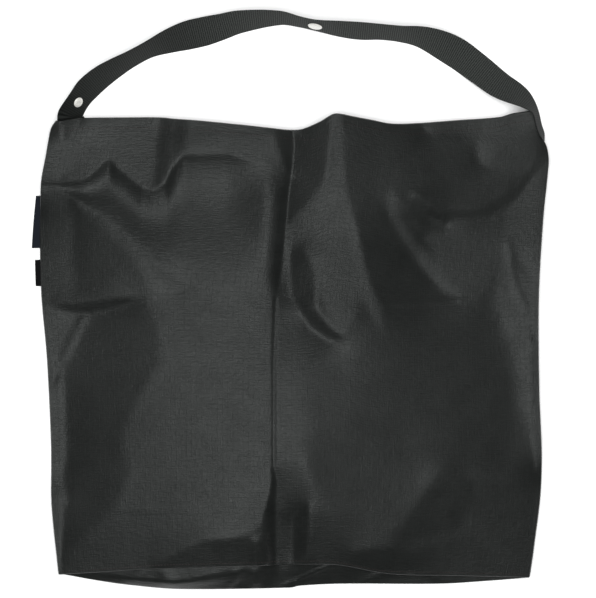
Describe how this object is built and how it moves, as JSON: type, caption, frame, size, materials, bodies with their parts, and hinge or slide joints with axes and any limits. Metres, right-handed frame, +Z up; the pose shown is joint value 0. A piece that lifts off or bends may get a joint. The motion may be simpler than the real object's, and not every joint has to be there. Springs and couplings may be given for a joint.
{
  "type": "shoulder bag",
  "caption": "Flat black ripstop nylon shoulder bag lying on its back, open at the mouth, with a folded-in bottom gusset and a twisted webbing strap with metal snaps",
  "frame": {"origin": "on the resting plane under the middle of the bag's box", "axes": "+Z up from the resting surface, +Y from the bottom gusset towards the mouth and strap, +X to the right seen from above"},
  "size_m": [0.5148, 0.5754, 0.03],
  "materials": {
    "nylon": "black ripstop nylon with a soft sheen",
    "webbing": "black ribbed webbing, matt",
    "snap_metal": "bright pressed metal",
    "navy_ribbon": "dark navy woven ribbon",
    "black_ribbon": "black woven ribbon, bare"
  },
  "bodies": {
    "root": {"front_panel": "nylon", "back_panel": "nylon", "bottom_gusset": "nylon", "strap": "webbing", "lower_snap": "snap_metal", "upper_snap": "snap_metal", "upper_tab": "navy_ribbon", "lower_tab": "black_ribbon"}
  },
  "joints": []
}
